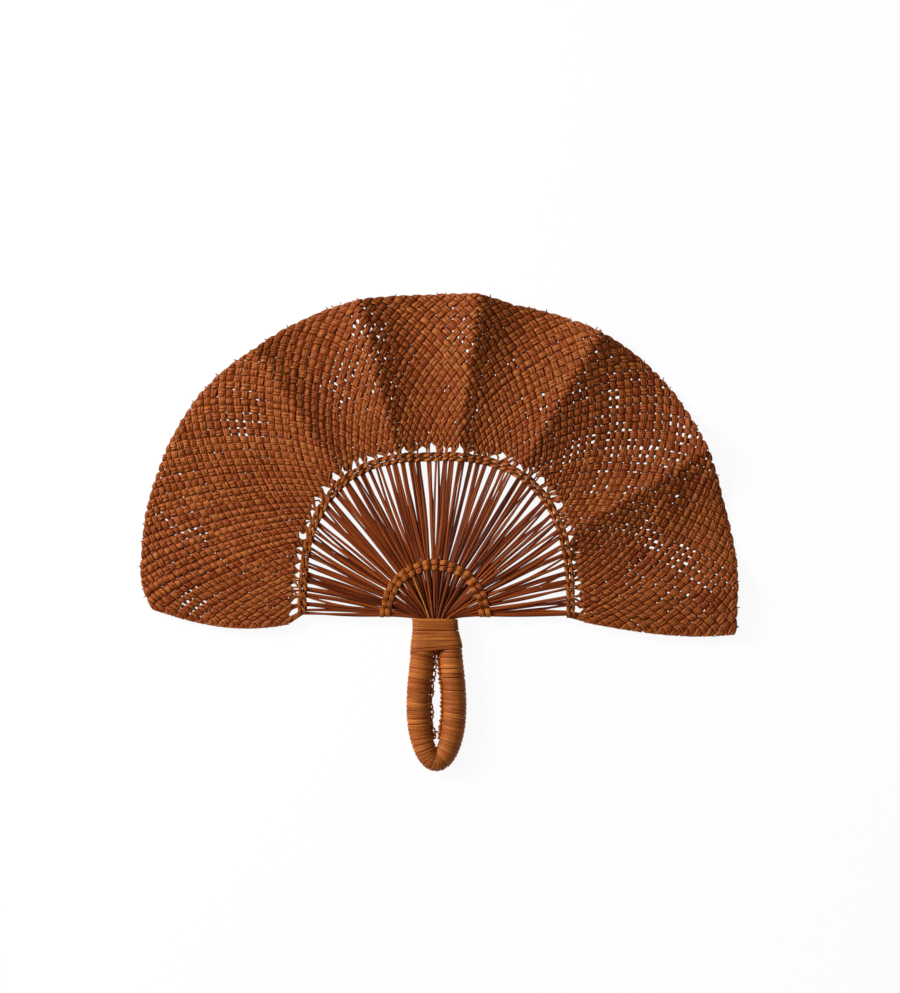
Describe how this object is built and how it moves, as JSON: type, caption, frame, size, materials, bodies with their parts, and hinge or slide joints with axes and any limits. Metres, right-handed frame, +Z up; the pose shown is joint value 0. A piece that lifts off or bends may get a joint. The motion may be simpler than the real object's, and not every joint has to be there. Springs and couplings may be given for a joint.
{
  "type": "palm leaf fan",
  "caption": "Rigid hand fan of dyed palm straw: a bias-plaited, ruffled half-disc blade on spread straw ribs bound by twined rows, with a wrapped loop handle.",
  "frame": {"origin": "middle of the fan's outline, on the table under it", "axes": "+X to the right across the blade, +Y from the handle to the top of the blade, +Z up from the table towards the face seen in the picture"},
  "size_m": [0.3964, 0.3182, 0.0169],
  "materials": {
    "straw_core": "bundled straw, mostly hidden under the wrap",
    "straw_wrap": "flat dyed straw strip, satin",
    "rib_straw": "dyed straws, satin",
    "twine_straw": "thin dyed straw strands, satin",
    "blade_straw": "plaited dyed palm strips, satin"
  },
  "bodies": {
    "root": {"handle_core": "straw_core", "right_grip_wrap": "straw_wrap", "bend_wrap": "straw_wrap", "left_grip_wrap": "straw_wrap", "collar_wrap": "straw_wrap", "rib_bundle_01": "rib_straw", "rib_bundle_02": "rib_straw", "rib_bundle_03": "rib_straw", "rib_bundle_04": "rib_straw", "rib_bundle_05": "rib_straw", "rib_bundle_06": "rib_straw", "rib_bundle_07": "rib_straw", "rib_bundle_08": "rib_straw", "rib_bundle_09": "rib_straw", "rib_bundle_10": "rib_straw", "rib_bundle_11": "rib_straw", "rib_bundle_12": "rib_straw", "rib_bundle_13": "rib_straw", "rib_bundle_14": "rib_straw", "rib_bundle_15": "rib_straw", "rib_bundle_16": "rib_straw", "rib_bundle_17": "rib_straw", "rib_bundle_18": "rib_straw", "rib_bundle_19": "rib_straw", "inner_twine_lower_a": "twine_straw", "inner_twine_lower_b": "twine_straw", "outer_twine_lower_a": "twine_straw", "outer_twine_lower_b": "twine_straw", "inner_twine_upper_a": "twine_straw", "inner_twine_upper_b": "twine_straw", "outer_twine_upper_a": "twine_straw", "outer_twine_upper_b": "twine_straw", "woven_blade": "blade_straw"}
  },
  "joints": []
}
